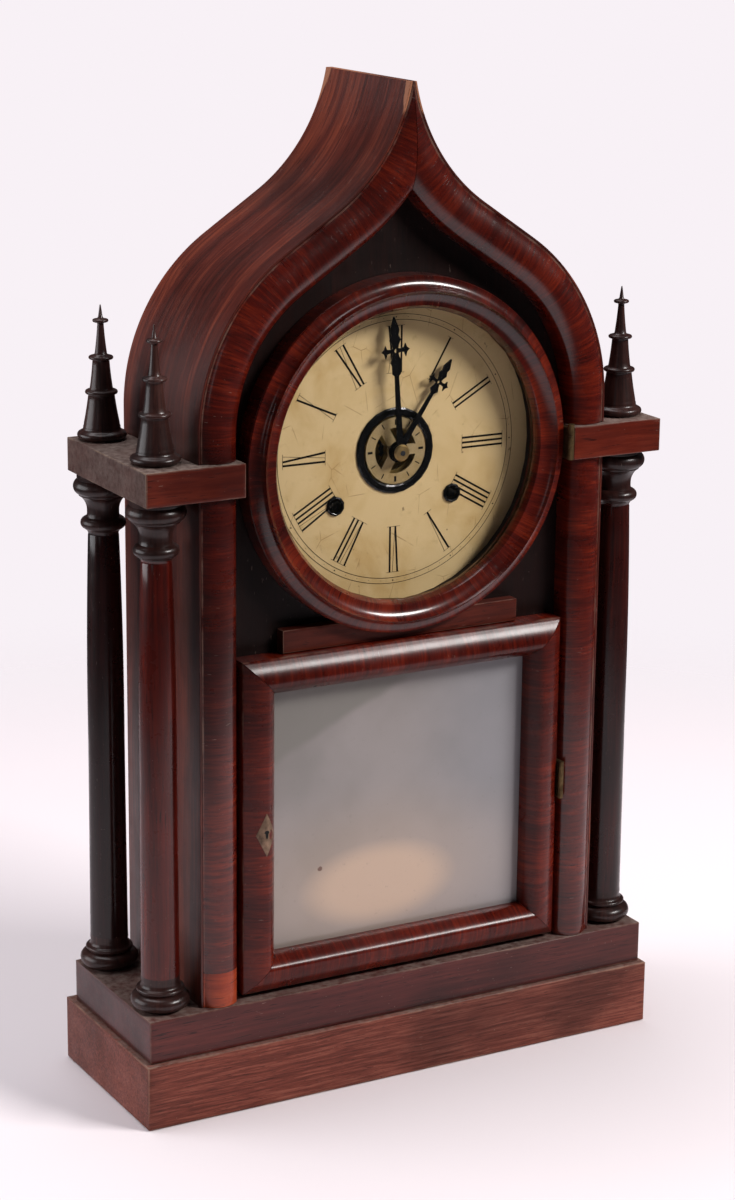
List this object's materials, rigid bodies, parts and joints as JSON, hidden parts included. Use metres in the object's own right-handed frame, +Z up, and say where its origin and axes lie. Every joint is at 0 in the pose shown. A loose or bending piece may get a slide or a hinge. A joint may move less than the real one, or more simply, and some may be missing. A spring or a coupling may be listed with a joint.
{
  "type": "ogee shelf clock",
  "caption": "Veneered shelf clock with an ogee arch case, free columns and spired finials, a round glazed dial door, a glazed lower door, and a pendulum movement inside.",
  "frame": {"origin": "centre of the base footprint, on the surface the clock stands on", "axes": "+X to the viewer's right, +Y from the dial to the backboard, +Z up"},
  "size_m": [0.34, 0.117, 0.5857],
  "materials": {
    "rosewood": "veneered, old gloss varnish, worn edges",
    "figured_rosewood": "cross-banded veneer, high gloss",
    "ebonised_wood": "dark stained, semi-gloss",
    "softwood": "bare, aged",
    "inlay": "pale inlay, worn",
    "brass": "tarnished",
    "steel": "blued, dull",
    "cast_iron": "black",
    "dial_paint": "aged cream paint",
    "black_lacquer": "gloss black",
    "glass": "clear"
  },
  "bodies": {
    "case": {"lower_plinth": "rosewood", "upper_plinth": "rosewood", "left_case_side": "rosewood", "right_case_side": "rosewood", "cross_rail": "rosewood", "left_ogee_moulding": "figured_rosewood", "right_ogee_moulding": "figured_rosewood", "left_stile_moulding": "figured_rosewood", "right_stile_moulding": "figured_rosewood", "front_left_column": "figured_rosewood", "front_right_column": "figured_rosewood", "rear_left_column": "figured_rosewood", "rear_right_column": "figured_rosewood", "left_capital_block": "ebonised_wood", "right_capital_block": "ebonised_wood", "front_left_finial": "ebonised_wood", "front_right_finial": "ebonised_wood", "rear_left_finial": "ebonised_wood", "rear_right_finial": "ebonised_wood", "fascia_board": "ebonised_wood", "backboard": "softwood", "movement_seat": "softwood", "bezel_hinge_fixed_leaf": "brass", "door_hinge_fixed_leaf": "brass", "movement_front_plate": "brass", "movement_back_plate": "brass", "time_mainspring": "steel", "strike_mainspring": "steel", "wire_gong": "steel", "gong_base": "cast_iron", "dial_plate": "dial_paint", "dial_rim": "black_lacquer", "left_key_collet": "black_lacquer", "right_key_collet": "black_lacquer"},
    "bezel_door": {"bezel_ring": "figured_rosewood", "bezel_glass": "glass", "bezel_glass_bead": "softwood", "bezel_hinge_moving_leaf": "brass"},
    "lower_door": {"door_bottom_rail": "figured_rosewood", "door_top_rail": "figured_rosewood", "door_left_stile": "figured_rosewood", "door_right_stile": "figured_rosewood", "door_glass": "glass", "door_escutcheon": "inlay", "door_lock": "brass", "door_hinge_moving_leaf": "brass"},
    "lock_bolt": {"door_lock_bolt": "brass"},
    "minute": {"centre_arbor": "steel", "minute_hand": "black_lacquer", "hand_nut": "brass"},
    "minute_reduction": {"minute_wheel": "brass"},
    "hour": {"hour_wheel": "brass", "hour_hand": "black_lacquer"},
    "alarm": {"alarm_disc": "brass"},
    "time_wheel": {"time_great_wheel": "brass"},
    "strike_wheel": {"strike_great_wheel": "brass"},
    "pendulum": {"pendulum_rod": "steel", "pendulum_bob": "brass"},
    "hammer": {"strike_hammer": "steel"}
  },
  "joints": [
    {"name": "bezel_hinge", "type": "hinge", "parent": "case", "child": "bezel_door", "pos_m": [0.10455, -0.0563, 0.3753], "axis": [0, 0, 1], "range_deg": [0, 110]},
    {"name": "door_hinge", "type": "hinge", "parent": "case", "child": "lower_door", "pos_m": [0.107, -0.0524, 0.1665], "axis": [0, 0, 1], "range_deg": [0, 110]},
    {"name": "bolt_slide", "type": "slide", "parent": "lower_door", "child": "lock_bolt", "axis": [-1, 0, 0], "range_m": [0, 0.004]},
    {"name": "minute_turn", "type": "hinge", "parent": "case", "child": "minute", "pos_m": [0, -0.03, 0.376], "axis": [0, 1, 0], "continuous": true},
    {"name": "minute_wheel_turn", "type": "hinge", "parent": "case", "child": "minute_reduction", "pos_m": [-0.0205, -0.025, 0.376], "axis": [0, 1, 0], "continuous": true},
    {"name": "hour_turn", "type": "hinge", "parent": "case", "child": "hour", "pos_m": [0, -0.03, 0.376], "axis": [0, 1, 0], "continuous": true},
    {"name": "alarm_set", "type": "hinge", "parent": "hour", "child": "alarm", "pos_m": [0, -0.034, 0.376], "axis": [0, 1, 0], "continuous": true},
    {"name": "time_wheel_turn", "type": "hinge", "parent": "case", "child": "time_wheel", "pos_m": [0.0383, -0.015, 0.3471], "axis": [0, 1, 0], "continuous": true},
    {"name": "strike_winding", "type": "hinge", "parent": "case", "child": "strike_wheel", "pos_m": [-0.0383, -0.011, 0.3471], "axis": [0, 1, 0], "continuous": true},
    {"name": "pendulum_swing", "type": "hinge", "parent": "case", "child": "pendulum", "pos_m": [0, 0.026, 0.428], "axis": [0, 1, 0], "range_deg": [-3.5, 3.5]},
    {"name": "hammer_lift", "type": "hinge", "parent": "case", "child": "hammer", "pos_m": [0.013, 0, 0.3065], "axis": [0, -1, 0], "range_deg": [0, 6]}
  ],
  "couplings": [
    {"joint": "hour_turn", "follows": "minute_turn", "ratio": 0.083333},
    {"joint": "minute_wheel_turn", "follows": "minute_turn", "ratio": -0.33333},
    {"joint": "time_wheel_turn", "follows": "minute_turn", "ratio": -0.125}
  ]
}
